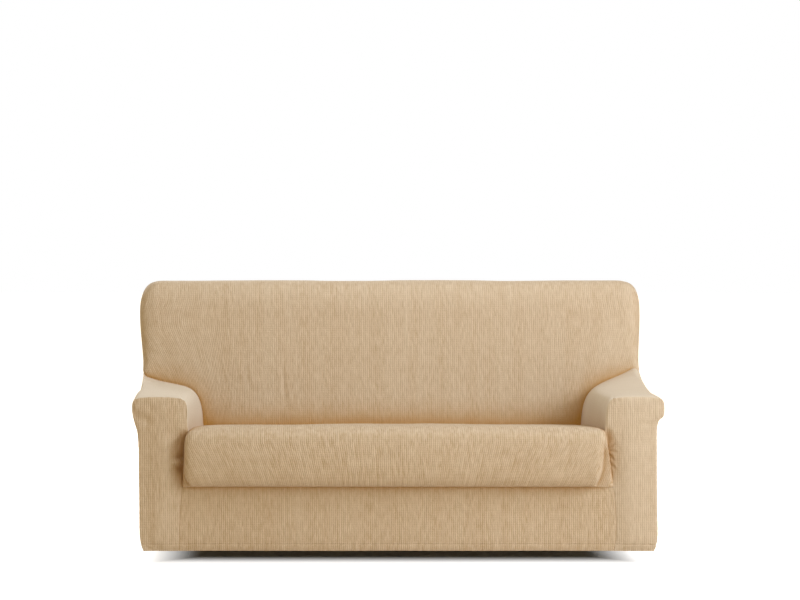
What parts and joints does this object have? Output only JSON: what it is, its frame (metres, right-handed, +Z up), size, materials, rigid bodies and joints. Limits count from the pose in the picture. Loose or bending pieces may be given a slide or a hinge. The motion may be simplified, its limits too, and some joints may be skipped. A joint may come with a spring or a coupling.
{
  "type": "sofa slipcover",
  "caption": "Fitted stretch slipcover for a three-seat sofa with scroll arms: a hollow shell of crinkled elastic cloth panels sewn edge to edge, open below, with an elastic hem.",
  "frame": {"origin": "under the middle of the top of the back, where the cover hangs on the sofa it is pulled over", "axes": "+X along the seat to the right as seen from the front, +Y to the rear, +Z up; the seat's front faces -Y"},
  "size_m": [1.8269, 0.9132, 0.902],
  "materials": {
    "stretch_cloth": "matt sand-coloured two-way stretch crinkle weave"
  },
  "bodies": {
    "root": {"inside_back": "stretch_cloth", "outside_back": "stretch_cloth", "seat": "stretch_cloth", "front_border": "stretch_cloth", "arm_left": "stretch_cloth", "arm_right": "stretch_cloth", "arm_front_left": "stretch_cloth", "arm_front_right": "stretch_cloth"}
  },
  "joints": []
}
